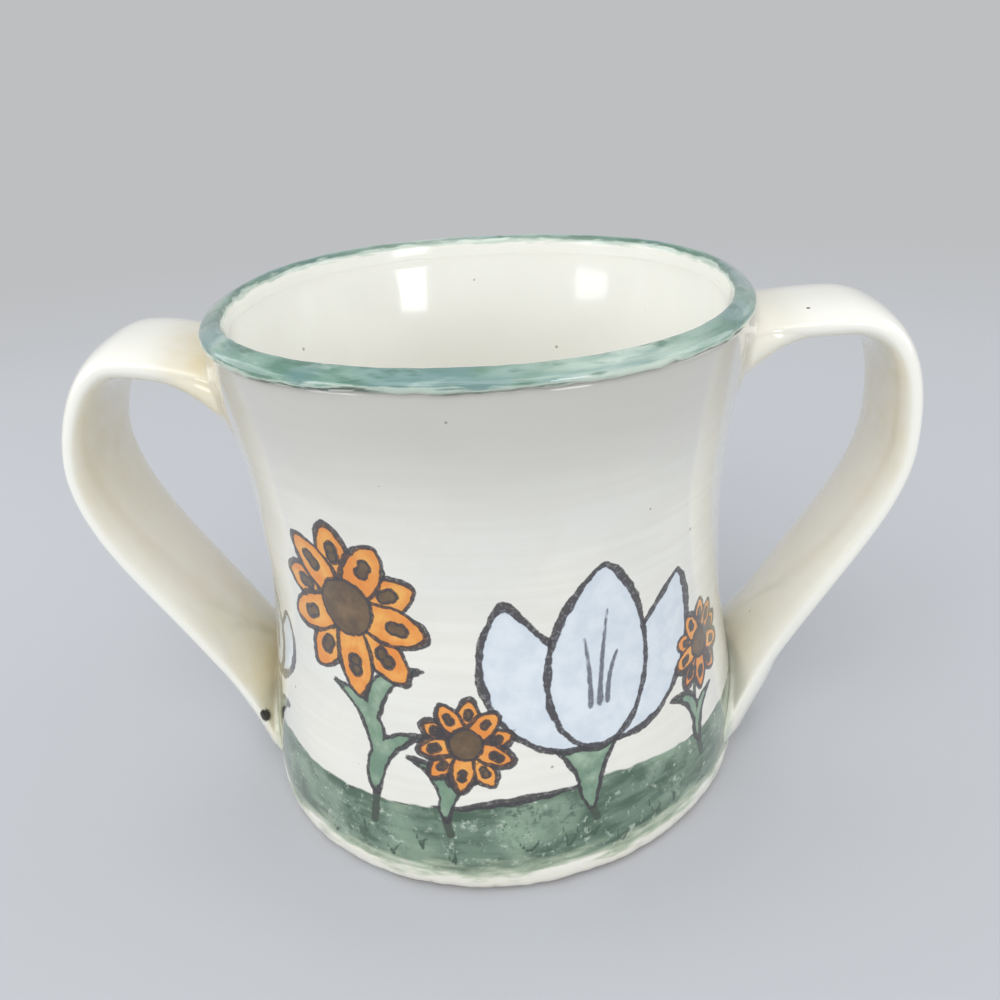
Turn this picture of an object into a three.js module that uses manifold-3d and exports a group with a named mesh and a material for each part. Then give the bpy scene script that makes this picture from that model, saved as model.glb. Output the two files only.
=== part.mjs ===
// Two-handled pottery mug, built from the pieces that a potter joins with slip before firing.
// Millimetres, +Z up. The origin is the centre of the flat underside; the handles lie along X.

import * as THREE from 'three';
import { mergeVertices } from 'three/addons/utils/BufferGeometryUtils.js';
import Module from 'manifold-3d';

// Facets
const turnFacets = 56;       // round the mug's axis
const wallRings = 7;         // along each half of the wall's curve
const strapFacets = 16;      // round a strap's section
const strapRings = 30;       // along a strap
const rootRings = 6;         // along the clay worked round a strap's root
const roundFacets = 5;       // along a small rounded edge

// Fits
const clearance = 0.3;       // between a piece and the neighbour that shapes it

// Heights of the cup
const mugHeight = 90;
const slabThickness = 4.5;
const lipHeight = 3.4;
const waistHeight = 52;      // level of the narrowest ring

// Outside radii of the cup
const heelRadius = 46.8;     // where the wall stands on the slab
const waistRadius = 41.4;
const neckRadius = 44.9;     // under the lip
const heelLean = 0.8;        // how far the wall leans in as it leaves the slab

// Wall thickness
const heelThickness = 5.6;
const waistThickness = 4.6;
const neckThickness = 3.4;

// Curve shape: how far each control arm of the wall's curve runs along its half
const heelArm = 0.35;
const waistArm = 0.46;
const neckArm = 0.35;
const neckFlare = 0.6;       // how far the wall still opens in its last stretch

// Edges of the slab
const slabLedge = 0.3;       // how far the slab stands proud of the wall
const slabEdgeRound = 2.2;   // lower edge, wiped round with a sponge
const seamChamfer = 0.35;    // groove where the wall stands on the slab

// Lip
const lipOverhang = 0.8;     // proud of the wall outside
const lipInset = 0.2;        // proud of the wall inside
const lipCrown = 2.4;        // height of the lip's rounded top
const lipSquareness = 2.1;   // 2 is an ellipse, larger is squarer
const lipSlope = 0.45;       // how far its top lies towards the inside, as a share of half its width
const lipFoot = 0.7;         // height of the step under the overhang

// Coil in the corner between wall and floor
const coilWidth = 6;
const coilHeight = 6;
const coilEdge = 0.5;        // thickness left at the coil's thin edges

// Straps
const strapSquareness = 2.3;
const strapSink = 4;         // how far a strap's centre line starts inside the wall's face
const tailLength = 16;       // the stretch over which a strap thins towards its lower end

const leftHandle = {
	name: 'left',
	turn: Math.PI + 0.035,   // direction from the axis, in radians
	width: 25.4,
	thickness: 6.2,
	tailThickness: 3,        // at the lower end, where the strap is smeared onto the wall
	fingerRoom: 21.6,        // from the neck's radius out to the strap's inner face
	rootDrop: 12,            // from the rim down to the upper root's centre
	crownDrop: 7.5,          // from the rim down to the centre line's highest point
	crownOut: 13.8,          // from the neck's radius out to that point
	bendDrop: 26.8,          // from the rim down to the outermost point
	tailHeight: 6,           // from the table up to the strap's lower end
	shoulderArm: 0.55,       // the arms say how full each stretch of the curve is
	bendArm: 0.35,
	runArm: 0.3,
	tailArm: 0.42,
	tailSlope: 1.3,          // radians from the horizontal
	upperRoot: { length: 11, over: 1, under: 2.6, side: 3.4 },
	lowerRoot: { length: 20, over: 0.5, under: 2.2, side: 2.8 },
};

const rightHandle = {
	name: 'right',
	turn: -0.035,
	width: 21.5,
	thickness: 5.9,
	tailThickness: 3,
	fingerRoom: 22.8,
	rootDrop: 8,
	crownDrop: 6.5,
	crownOut: 13.8,
	bendDrop: 27.3,
	tailHeight: 5.3,
	shoulderArm: 0.88,
	bendArm: 0.47,
	runArm: 0.28,
	tailArm: 0.5,
	tailSlope: 1.23,
	upperRoot: { length: 12, over: 0.4, under: 3.8, side: 3 },
	lowerRoot: { length: 20, over: 0.5, under: 2.2, side: 4.6 },
};

// Clay worked round the straps' roots. Each root above says how far along the strap it reaches, and how
// far it stands off the strap's upper face, under face and sides at the wall
const rootEdge = 0.6;        // thickness left at its thin edge
const rootFade = 2.2;        // how quickly it thins along the strap
const rootTail = 2.6;        // how far it runs on below the strap's lower end

// Values that follow from the ones above
const neckHeight = mugHeight - lipHeight;
const lipRadius = neckRadius + lipOverhang;
const slabRadius = heelRadius + slabLedge;

// Solids

const wasm = await Module();
wasm.setup();

function solidFrom(geometry) {
	const bare = geometry.clone();
	bare.deleteAttribute('normal');
	bare.deleteAttribute('uv');
	const merged = mergeVertices(bare, 1e-4);
	return new wasm.Manifold(new wasm.Mesh({
		numProp: 3,
		vertProperties: new Float32Array(merged.attributes.position.array),
		triVerts: new Uint32Array(merged.index.array),
	}));
}

function geometryFrom(solid) {
	const mesh = solid.getMesh();
	const geometry = new THREE.BufferGeometry();
	geometry.setAttribute('position', new THREE.BufferAttribute(new Float32Array(mesh.vertProperties), 3));
	geometry.setIndex(new THREE.BufferAttribute(new Uint32Array(mesh.triVerts), 1));
	geometry.computeVertexNormals();
	return geometry;
}

function turned(points) {
	const geometry = new THREE.LatheGeometry(points, turnFacets);
	geometry.rotateX(Math.PI / 2);
	return geometry;
}

const point = (radius, height) => new THREE.Vector2(radius, height);

// Wall curves, from the slab up to the neck

function halfCurves(heel, waist, neck) {
	const lowerSpan = waistHeight - slabThickness;
	const upperSpan = neckHeight - waistHeight;
	const lower = new THREE.CubicBezierCurve(
		point(heel, slabThickness),
		point(heel - heelLean, slabThickness + heelArm * lowerSpan),
		point(waist, waistHeight - waistArm * lowerSpan),
		point(waist, waistHeight),
	);
	const upper = new THREE.CubicBezierCurve(
		point(waist, waistHeight),
		point(waist, waistHeight + waistArm * upperSpan),
		point(neck - neckFlare, neckHeight - neckArm * upperSpan),
		point(neck, neckHeight),
	);
	return [lower, upper];
}

function wallLine(heel, waist, neck) {
	const [lower, upper] = halfCurves(heel, waist, neck);
	return [...lower.getPoints(wallRings), ...upper.getPoints(wallRings).slice(1)];
}

const outerLine = wallLine(heelRadius, waistRadius, neckRadius);
const innerLine = wallLine(
	heelRadius - heelThickness,
	waistRadius - waistThickness,
	neckRadius - neckThickness,
);

function radiusAt(line, height) {
	const above = line.findIndex((p) => p.y >= height);
	if (above <= 0) return line[above === 0 ? 0 : line.length - 1].x;
	const low = line[above - 1];
	const high = line[above];
	return THREE.MathUtils.mapLinear(height, low.y, high.y, low.x, high.x);
}

// Foot slab: a rolled disc with a wiped lower edge

function slabEdge() {
	const arc = new THREE.EllipseCurve(
		slabRadius - slabEdgeRound, slabEdgeRound, slabEdgeRound, slabEdgeRound, -Math.PI / 2, 0,
	);
	return [
		...arc.getPoints(roundFacets),
		point(slabRadius, slabThickness - seamChamfer),
		point(slabRadius - seamChamfer, slabThickness),
	];
}

function footSlab() {
	return turned([point(0, 0), ...slabEdge(), point(0, slabThickness)]);
}

// Wall: a waisted ring that stands on the slab

function wall() {
	const outside = outerLine.slice(1);
	const foot = [
		point(heelRadius - seamChamfer, slabThickness),
		point(heelRadius, slabThickness + seamChamfer),
	];
	const inside = innerLine.slice().reverse();
	return turned([...foot, ...outside, ...inside, foot[0].clone()]);
}

// Lip: a coil laid on the wall, rounded on top and a little wider than the wall

function lipLine() {
	const innerRadius = neckRadius - neckThickness - lipInset;
	const middle = (lipRadius + innerRadius) / 2;
	const half = (lipRadius - innerRadius) / 2;
	const springing = mugHeight - lipCrown;
	const crown = [];
	for (let i = 0; i <= 2 * roundFacets; i += 1) {
		const angle = (Math.PI * i) / (2 * roundFacets);
		const even = Math.sign(Math.cos(angle)) * Math.abs(Math.cos(angle)) ** (2 / lipSquareness);
		const across = even - lipSlope * (1 - even ** 2);
		const up = Math.abs(Math.sin(angle)) ** (2 / lipSquareness);
		crown.push(point(middle + half * across, springing + lipCrown * up));
	}
	return [
		point(neckRadius, neckHeight),
		point(lipRadius, neckHeight + lipFoot),
		...crown,
		point(neckRadius - neckThickness, neckHeight),
	];
}

function lip() {
	const line = lipLine();
	return turned([...line, line[0].clone()]);
}

// Floor coil: pressed into the corner, with a hollow face

function floorCoil() {
	const line = [];
	for (let i = 0; i <= roundFacets; i += 1) {
		const height = slabThickness + (coilHeight * i) / roundFacets;
		line.push(point(radiusAt(innerLine, height) - clearance, height));
	}
	const top = line[line.length - 1];
	const toe = line[0].x - coilWidth;
	const face = new THREE.QuadraticBezierCurve(
		point(top.x - coilEdge, top.y),
		point(line[0].x - coilEdge, slabThickness + coilEdge),
		point(toe, slabThickness + coilEdge),
	);
	return turned([...line, ...face.getPoints(roundFacets), point(toe, slabThickness), line[0].clone()]);
}

// The whole cup as one block, grown by the clearance: what a strap and its root are cut by

function cupBlock() {
	const grow = (p) => point(p.x + clearance, p.y);
	const edge = slabEdge().map(grow);
	const side = outerLine.map(grow);
	const rim = lipLine().slice(1, 2 + roundFacets).map(grow);
	const brim = point(neckRadius + clearance, neckHeight - clearance);
	const step = point(lipRadius + clearance, neckHeight + lipFoot - clearance);
	return turned([
		point(0, -clearance),
		point(edge[0].x, -clearance),
		...edge.slice(1, -1),
		...side.slice(1, -1),
		brim,
		step,
		...rim.slice(1),
		point(0, mugHeight + clearance),
	]);
}

// Straps: a round bar bent along the handle's centre line, its section made flat and soft-cornered

function centreLine(handle) {
	const rootHeight = mugHeight - handle.rootDrop;
	const start = point(radiusAt(outerLine, rootHeight) - strapSink, rootHeight);
	const crown = point(neckRadius + handle.crownOut, mugHeight - handle.crownDrop);
	const bendRadius = neckRadius + handle.fingerRoom + handle.thickness / 2;
	const bend = point(bendRadius, mugHeight - handle.bendDrop);
	const tail = point(radiusAt(outerLine, handle.tailHeight) - handle.thickness / 3, handle.tailHeight);
	const run = crown.x - start.x;
	const fall = bend.y - tail.y;
	const tailReach = handle.tailArm * fall;
	const path = new THREE.CurvePath();
	path.add(new THREE.CubicBezierCurve(
		start,
		point(start.x + run / 3, start.y + (crown.y - start.y) / 2),
		point(crown.x - run / 3, crown.y),
		crown,
	));
	path.add(new THREE.CubicBezierCurve(
		crown,
		point(crown.x + handle.shoulderArm * (bend.x - crown.x), crown.y),
		point(bend.x, bend.y + handle.bendArm * (crown.y - bend.y)),
		bend,
	));
	path.add(new THREE.CubicBezierCurve(
		bend,
		point(bend.x, bend.y - handle.runArm * fall),
		point(
			tail.x + tailReach * Math.cos(handle.tailSlope),
			tail.y + tailReach * Math.sin(handle.tailSlope),
		),
		tail,
	));
	const heading = path.getTangent(1);
	path.add(new THREE.LineCurve(tail, tail.clone().addScaledVector(heading, rootTail)));
	return path;
}

// section(share) gives a half width, and the thickness over and under the centre line

function bentBar(path, from, to, rings, section) {
	const geometry = new THREE.CylinderGeometry(1, 1, 1, strapFacets, rings);
	const position = geometry.attributes.position;
	const power = 2 / strapSquareness;
	const soft = (value) => Math.sign(value) * Math.abs(value) ** power;
	for (let i = 0; i < position.count; i += 1) {
		const share = from + (0.5 - position.getY(i)) * (to - from);
		const centre = path.getPointAt(share);
		const along = path.getTangentAt(share);
		const size = section(share);
		const across = soft(position.getX(i)) * size.side;
		const lift = soft(position.getZ(i)) * (position.getZ(i) > 0 ? size.over : size.under);
		position.setXYZ(i, centre.x - along.y * lift, across, centre.y + along.x * lift);
	}
	return geometry;
}

function strapSize(handle, path, share) {
	const fromTail = (1 - share) * path.getLength() - rootTail;
	const thinning = 1 - THREE.MathUtils.clamp(fromTail / tailLength, 0, 1);
	const half = handle.thickness / 2;
	return {
		side: handle.width / 2,
		over: THREE.MathUtils.lerp(half, handle.tailThickness / 2, thinning),
		under: half,
	};
}

function grown(size, side, over, under) {
	return { side: size.side + side, over: size.over + over, under: size.under + under };
}

function strapBar(handle, path, extra) {
	const end = 1 - (rootTail - extra) / path.getLength();
	return bentBar(path, 0, end, strapRings, (share) => (
		grown(strapSize(handle, path, share), extra, extra, extra)
	));
}

function rootBar(handle, path, root, atTop) {
	const length = path.getLength();
	const hidden = atTop ? strapSink : rootTail;
	const span = (hidden + root.length) / length;
	return bentBar(path, atTop ? 0 : 1 - span, atTop ? span : 1, rootRings, (share) => {
		const fromEnd = (atTop ? share : 1 - share) * length;
		const away = THREE.MathUtils.clamp((fromEnd - hidden) / root.length, 0, 1);
		const rise = (1 - away) ** rootFade;
		return grown(
			strapSize(handle, path, share),
			rootEdge + root.side * rise,
			rootEdge + root.over * rise,
			rootEdge + root.under * rise,
		);
	});
}

// Assembly

const glaze = {
	painted: new THREE.MeshStandardMaterial({ color: 0xe4e2d6, roughness: 0.22, metalness: 0 }),
	plain: new THREE.MeshStandardMaterial({ color: 0xe6e0cc, roughness: 0.2, metalness: 0 }),
	inside: new THREE.MeshStandardMaterial({ color: 0xe9e4d2, roughness: 0.2, metalness: 0 }),
	lip: new THREE.MeshStandardMaterial({ color: 0x6f9788, roughness: 0.25, metalness: 0 }),
	foot: new THREE.MeshStandardMaterial({ color: 0xddd3c2, roughness: 0.45, metalness: 0 }),
};

const mug = new THREE.Group();

function addPiece(name, geometry, material) {
	const mesh = new THREE.Mesh(geometry, material);
	mesh.name = name;
	mug.add(mesh);
	return mesh;
}

addPiece('foot_slab', footSlab(), glaze.foot);
addPiece('wall', wall(), glaze.painted);
addPiece('lip', lip(), glaze.lip);
addPiece('floor_coil', floorCoil(), glaze.inside);

const block = solidFrom(cupBlock());

for (const handle of [leftHandle, rightHandle]) {
	const path = centreLine(handle);
	const cutter = block.rotate([0, 0, -THREE.MathUtils.radToDeg(handle.turn)]);
	const strap = solidFrom(strapBar(handle, path, 0));
	const grownStrap = solidFrom(strapBar(handle, path, clearance));
	const pieces = {
		[`handle_${handle.name}`]: strap.subtract(cutter),
	};
	for (const [level, root] of [['upper', handle.upperRoot], ['lower', handle.lowerRoot]]) {
		const bar = solidFrom(rootBar(handle, path, root, level === 'upper'));
		pieces[`${level}_joint_${handle.name}`] = bar.subtract(grownStrap).subtract(cutter);
	}
	for (const [name, solid] of Object.entries(pieces)) {
		addPiece(name, geometryFrom(solid), glaze.plain).rotation.z = handle.turn;
	}
}

export default mug;
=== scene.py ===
# %% [markdown]
# # A cream glazed mug with two strap handles
#
# The mug is hand-made pottery. A waisted wall stands on a rolled slab, a coil makes the lip, and the ends
# of two flat straps are worked into the wall with a wet finger. A plain measured model of these pieces
# comes first. This lesson builds the fired and painted mug around it: the small unevenness that hands
# leave, the glaze that pools in the corners, and the brushwork.

# %% Load the measured model
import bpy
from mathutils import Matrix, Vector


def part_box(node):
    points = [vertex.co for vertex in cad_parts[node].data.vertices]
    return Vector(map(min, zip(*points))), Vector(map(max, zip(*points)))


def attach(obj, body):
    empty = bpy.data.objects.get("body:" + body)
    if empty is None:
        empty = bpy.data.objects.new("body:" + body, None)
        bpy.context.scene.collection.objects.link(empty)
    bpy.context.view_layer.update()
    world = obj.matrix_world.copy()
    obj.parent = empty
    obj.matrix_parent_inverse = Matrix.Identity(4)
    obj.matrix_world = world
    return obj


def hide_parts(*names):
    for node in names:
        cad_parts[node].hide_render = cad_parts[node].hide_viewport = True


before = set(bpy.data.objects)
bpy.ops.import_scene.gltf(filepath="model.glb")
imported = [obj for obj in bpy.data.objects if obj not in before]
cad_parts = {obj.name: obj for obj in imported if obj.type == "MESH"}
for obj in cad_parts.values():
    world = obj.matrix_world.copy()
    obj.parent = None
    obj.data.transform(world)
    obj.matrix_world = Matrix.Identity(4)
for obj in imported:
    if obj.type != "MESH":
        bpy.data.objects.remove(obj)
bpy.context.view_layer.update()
print("measured pieces:", ", ".join(sorted(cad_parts)))

# %% [markdown]
# ## Units and a short way to write node trees
#
# Blender's nodes can be wired by hand or from a script. A script keeps every number in the open, but it
# gets long when each node takes five lines. The small class below adds a node, fills its sockets with
# numbers or with the outputs of other nodes, and gives short words to the few kinds that come back often.

# %% Tools and units
import math

import bpy
import numpy as np
from mathutils import Matrix, Vector
from mathutils.bvhtree import BVHTree

mm = 0.001


def paint(red, green, blue):
    """A colour as a screen shows it, 0 to 255, turned into the light values that nodes work in."""
    shares = [value / 255 for value in (red, green, blue)]
    return [s / 12.92 if s <= 0.04045 else ((s + 0.055) / 1.055) ** 2.4 for s in shares] + [1]

# %% A recipe is a node tree
class Recipe:
    """A node tree, with a short word for each kind of node that this mug needs often."""

    def __init__(self, tree):
        self.tree = tree

    def add(self, kind, inputs=None, **settings):
        node = self.tree.nodes.new(kind)
        for name, value in settings.items():
            setattr(node, name, value)
        for key, value in (inputs or {}).items():
            socket = self.find(node.inputs, key)
            if isinstance(value, bpy.types.NodeSocket):
                self.tree.links.new(value, socket)
            else:
                socket.default_value = value
        return node

    def find(self, sockets, key):
        if isinstance(key, int):
            return sockets[key]
        return next(socket for socket in sockets if socket.name == key and socket.enabled)

    def out(self, node, key=0):
        return self.find(node.outputs, key)

    def math(self, operation, *values):
        return self.add("ShaderNodeMath", dict(enumerate(values)), operation=operation).outputs[0]

    def plus(self, first, *others):
        for other in others:
            first = self.math("ADD", first, other)
        return first

    def times(self, first, *others):
        for other in others:
            first = self.math("MULTIPLY", first, other)
        return first

    def vector_math(self, operation, *values):
        return self.add("ShaderNodeVectorMath", dict(enumerate(values)), operation=operation).outputs

    def vector(self, x, y, z):
        return self.add("ShaderNodeCombineXYZ", {0: x, 1: y, 2: z}).outputs[0]

    def parts(self, vector):
        return self.add("ShaderNodeSeparateXYZ", {0: vector}).outputs

    def lerp(self, amount, first, second):
        """A number that goes from the first value to the second."""
        return self.out(self.add("ShaderNodeMix", {"Factor": amount, "A": first, "B": second}), "Result")

    def blend(self, amount, first, second):
        """A colour that goes from the first to the second."""
        sockets = {"Factor": amount, "A": first, "B": second}
        return self.out(self.add("ShaderNodeMix", sockets, data_type="RGBA"), "Result")

    def step(self, value, start, end, low=0.0, high=1.0):
        """A soft step: low where the value is at start, high where it is at end."""
        sockets = {"Value": value, "From Min": start, "From Max": end, "To Min": low, "To Max": high}
        return self.add("ShaderNodeMapRange", sockets, interpolation_type="SMOOTHSTEP").outputs[0]

    def noise(self, place, size, seed=0.0, detail=2.0, roughness=0.5):
        """Cloudy noise whose blotches are about size units of the place across."""
        start = (seed * 7.3, seed * 3.1, seed * 5.7)
        spot = self.vector_math("MULTIPLY_ADD", place, (1 / size,) * 3, start)[0]
        sockets = {"Vector": spot, "Scale": 1.0, "Detail": detail, "Roughness": roughness}
        return self.add("ShaderNodeTexNoise", sockets).outputs[0]

    def attribute(self, name):
        return self.add("ShaderNodeAttribute", attribute_name=name).outputs["Fac"]

# %% [markdown]
# ## The place of the camera
#
# The camera stands where the photograph was taken: close to the mug, a little above it and looking down.
# A lens so near makes the foot look small under a wide rim. Its place was worked out from the outlines of
# the rim and the foot, so the mug shows the same shape as in the photograph.

# %% Camera
camera_place = Vector((7.5, -144.6, 124.1)) * mm
camera_turn = -0.040
camera_dip = 0.478
camera_roll = -0.057
lens_length = 31.3


def set_camera():
    ahead = Vector((math.sin(camera_turn) * math.cos(camera_dip),
                    math.cos(camera_turn) * math.cos(camera_dip),
                    -math.sin(camera_dip)))
    level = Vector((math.cos(camera_turn), -math.sin(camera_turn), 0))
    right = math.cos(camera_roll) * level + math.sin(camera_roll) * level.cross(ahead)
    camera = bpy.data.objects.new("camera", bpy.data.cameras.new("camera"))
    camera.matrix_world = Matrix((right, right.cross(ahead), -ahead)).transposed().to_4x4()
    camera.location = camera_place
    camera.data.lens = lens_length
    camera.data.clip_start = 1 * mm
    bpy.context.scene.collection.objects.link(camera)
    bpy.context.scene.camera = camera
    return camera


print("camera at", [round(value / mm, 1) for value in set_camera().location], "mm")

# %% [markdown]
# ## Turning clay with Geometry Nodes
#
# The wall, the lip, the foot and the floor are all round, so each is one outline turned about the upright
# axis. Blender's Screw modifier could do it. A small Geometry Nodes tree says more plainly what happens: a
# grid has a row for each point of the outline and a column for each step round the axis, and every grid
# point moves to its place on the circle. The points that meet at the seam and on the axis are merged.

# %% A tree that turns an outline
def new_tree(name, sizes):
    """An empty Geometry Nodes tree with a named input for each size."""
    tree = bpy.data.node_groups.new(name, "GeometryNodeTree")
    tree.is_modifier = True
    tree.interface.new_socket("Geometry", in_out="INPUT", socket_type="NodeSocketGeometry")
    for label, kind in sizes:
        tree.interface.new_socket(label, in_out="INPUT", socket_type="NodeSocket" + kind)
    tree.interface.new_socket("Geometry", in_out="OUTPUT", socket_type="NodeSocketGeometry")
    return Recipe(tree), tree


def wrapping_grid(recipe, start):
    """A grid to wrap round an outline, and for each of its points the row and the angle round the axis."""
    outline = start["Geometry"]
    rows = recipe.add("GeometryNodeAttributeDomainSize", {"Geometry": outline}).outputs["Point Count"]
    sizes = {"Vertices X": recipe.plus(start["Steps Round"], 1), "Vertices Y": rows}
    grid = recipe.add("GeometryNodeMeshGrid", sizes).outputs["Mesh"]
    number = recipe.add("GeometryNodeInputIndex").outputs[0]
    column = recipe.math("FLOOR", recipe.math("DIVIDE", number, rows))
    angle = recipe.times(recipe.math("DIVIDE", column, start["Steps Round"]), math.tau)
    return grid, recipe.math("MODULO", number, rows), angle


def from_outline(recipe, outline, value, row, kind="FLOAT_VECTOR"):
    """What the outline's point of that row holds."""
    sockets = {"Geometry": outline, "Value": value, "Index": row}
    return recipe.add("GeometryNodeSampleIndex", sockets, data_type=kind, domain="POINT").outputs[0]


def close_and_colour(recipe, grid, place, surface):
    """Moves the grid's points to their place, merges those that meet, and gives the clay its finish."""
    moved = recipe.add("GeometryNodeSetPosition", {"Geometry": grid, "Position": place}).outputs[0]
    merged = recipe.add("GeometryNodeMergeByDistance", {"Geometry": moved, "Distance": merge_reach})
    smooth = recipe.add("GeometryNodeSetShadeSmooth", {"Geometry": merged.outputs[0]}).outputs[0]
    real = recipe.add("GeometryNodeRealizeInstances", {"Geometry": smooth}).outputs[0]
    done = recipe.add("GeometryNodeSetMaterial", {"Geometry": real, "Material": surface}).outputs[0]
    recipe.add("NodeGroupOutput", {"Geometry": done})


merge_reach = 0.0005 * mm


def turned_clay():
    recipe, tree = new_tree("turned_clay", [("Steps Round", "Int"), ("Finish", "Material")])
    start = recipe.add("NodeGroupInput").outputs
    grid, row, angle = wrapping_grid(recipe, start)
    place = recipe.add("GeometryNodeInputPosition").outputs[0]
    radius, _, height = recipe.parts(from_outline(recipe, start["Geometry"], place, row))
    across = recipe.times(radius, recipe.math("COSINE", angle))
    along = recipe.times(radius, recipe.math("SINE", angle))
    close_and_colour(recipe, grid, recipe.vector(across, along, height), start["Finish"])
    return tree


turning = turned_clay()
print("the turning tree has", len(turning.nodes), "nodes")

# %% Run a tree and keep a plain mesh
def run_tree(name, tree, skeleton, **sizes):
    """Runs a tree on the skeleton and returns the result as a piece with no modifier left on it."""
    worker = bpy.data.objects.new(name + "_skeleton", skeleton)
    bpy.context.scene.collection.objects.link(worker)
    modifier = worker.modifiers.new("tree", "NODES")
    modifier.node_group = tree
    sockets = {item.name: item.identifier for item in tree.interface.items_tree if item.in_out == "INPUT"}
    for label, value in sizes.items():
        modifier[sockets[label.replace("_", " ").title()]] = value
    graph = bpy.context.evaluated_depsgraph_get()
    mesh = bpy.data.meshes.new_from_object(worker.evaluated_get(graph))
    bpy.data.objects.remove(worker)
    mesh.name = name
    piece = bpy.data.objects.new(name, mesh)
    bpy.context.scene.collection.objects.link(piece)
    return piece


def outline_mesh(points):
    """An outline as a mesh of loose points: radius, nothing, height."""
    mesh = bpy.data.meshes.new("outline")
    mesh.from_pydata([(radius, 0, height) for radius, height in points], [], [])
    return mesh


def places_of(piece):
    flat = np.empty(len(piece.data.vertices) * 3)
    piece.data.vertices.foreach_get("co", flat)
    return flat.reshape(-1, 3)


def move_to(piece, places):
    piece.data.vertices.foreach_set("co", places.astype(np.float32).ravel())
    piece.data.update()


def remember(piece, name, values):
    """Stores one number for each point of the piece, for its finish to read."""
    field = piece.data.attributes.new(name, "FLOAT", "POINT")
    field.data.foreach_set("value", np.asarray(values, np.float32))

# %% [markdown]
# ## A pale table without an edge
#
# The mug stands on a wide disc of pale grey paper, turned with the same tree. A cool grey a little darker
# than the cream lets the glaze show. Away from the mug the camera sees the paper as one even tone, the same
# as the room behind it, so the table has no edge. Close to the mug it is plain paper and keeps the shadow.

# %% Pale table
floor_reach = 1.6
backdrop_grey = 0.53
backdrop_colour = (0.965, 0.98, 1.0, 1.0)
near_mug, far_away = 0.16, 0.6


def seen(recipe):
    """One for a ray from the camera, or by way of gloss or glass, and nothing for light that bounces."""
    path = recipe.add("ShaderNodeLightPath").outputs
    either = recipe.math("MAXIMUM", path["Is Camera Ray"], path["Is Glossy Ray"])
    return recipe.math("MAXIMUM", either, path["Is Transmission Ray"])


def studio_finish():
    finish = bpy.data.materials.new("pale_paper")
    finish.use_nodes = True
    recipe = Recipe(finish.node_tree)
    link = finish.node_tree.links.new
    place = recipe.add("ShaderNodeTexCoord").outputs["Object"]
    cloud = recipe.noise(place, 0.25, detail=3)
    shader = finish.node_tree.nodes["Principled BSDF"]
    link(recipe.blend(cloud, paint(184, 186, 190), paint(191, 193, 197)), shader.inputs["Base Color"])
    shader.inputs["Roughness"].default_value = 0.9
    sockets = {"Color": backdrop_colour, "Strength": backdrop_grey}
    glow = recipe.add("ShaderNodeEmission", sockets).outputs[0]
    far = recipe.step(recipe.vector_math("LENGTH", place)["Value"], near_mug, far_away)
    share = recipe.times(far, seen(recipe))
    both = recipe.add("ShaderNodeMixShader", {0: share, 1: shader.outputs[0], 2: glow})
    link(both.outputs[0], finish.node_tree.nodes["Material Output"].inputs["Surface"])
    return finish


rings = [(floor_reach * (1 - share), 0) for share in np.linspace(0, 1, 12)]
floor = run_tree("floor", turning, outline_mesh(rings), steps_round=96, finish=studio_finish())
print("floor:", len(floor.data.polygons), "faces")

# %% [markdown]
# ## Window light
#
# The photograph has soft light from high in front and from both sides, and nearly as much from all round,
# so the shadows are faint. Two small panes give the bright patches that show in the glaze inside the cup.

# %% Lamps
rim_middle = Vector((0, 0, 90 * mm))
window_white = (0.94, 0.97, 1)


def lamp(name, place, width, height, power, colour=(1, 1, 1)):
    """A soft lamp that looks at the middle of the rim."""
    light = bpy.data.lights.new(name, "AREA")
    light.shape = "RECTANGLE"
    light.size = width
    light.size_y = height
    light.energy = power
    light.color = colour
    holder = bpy.data.objects.new(name, light)
    holder.location = place
    holder.rotation_euler = (rim_middle - Vector(place)).to_track_quat("-Z", "Y").to_euler()
    bpy.context.scene.collection.objects.link(holder)
    return holder


def pane(name, turn, rise, away, width, height, power):
    """A lamp turned to the right of the front and raised above the rim, both in degrees."""
    turn, rise = math.radians(turn), math.radians(rise)
    level = math.cos(rise)
    place = Vector((math.sin(turn) * level, -math.cos(turn) * level, math.sin(rise))) * away
    return lamp(name, place + rim_middle, width, height, power, window_white)


lamp("daylight", (-0.15, -0.68, 0.95), 1.0, 0.8, 3.6)
pane("pane_left", -51, 15, 0.6, 0.18, 0.2, 0.35)
pane("pane_right", 29, 10, 0.6, 0.15, 0.19, 0.42)
pane("side_left", -100, 20, 0.9, 0.6, 0.5, 1.4)
pane("side_right", 100, 20, 0.9, 0.6, 0.5, 1.2)

# %% Light all round
def light_all_round(fill):
    world = bpy.data.worlds.new("room")
    bpy.context.scene.world = world
    world.use_nodes = True
    recipe = Recipe(world.node_tree)
    background = world.node_tree.nodes["Background"]
    strength = recipe.lerp(seen(recipe), fill, backdrop_grey)
    world.node_tree.links.new(strength, background.inputs["Strength"])
    background.inputs["Color"].default_value = backdrop_colour


light_all_round(0.87)
bpy.context.scene.view_settings.view_transform = "Standard"

# %% [markdown]
# ## The true shape of the cup
#
# The measured wall has its rings at only a few heights. A smooth curve through them gives the outside and
# the inside radius at any height, and everything that follows leans on these two curves: the wall itself,
# the straps that are pressed onto it, and the places of the painting.

# %% Radius of the cup at any height
def ring_line(node):
    """Heights of the rings of a turned piece, with the least and the greatest radius at each."""
    places = np.array([vertex.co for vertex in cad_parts[node].data.vertices])
    height = np.round(places[:, 2], 5)
    radius = np.hypot(places[:, 0], places[:, 1])
    levels = np.unique(height)
    least = np.array([radius[height == level].min() for level in levels])
    most = np.array([radius[height == level].max() for level in levels])
    return levels, least, most


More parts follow.
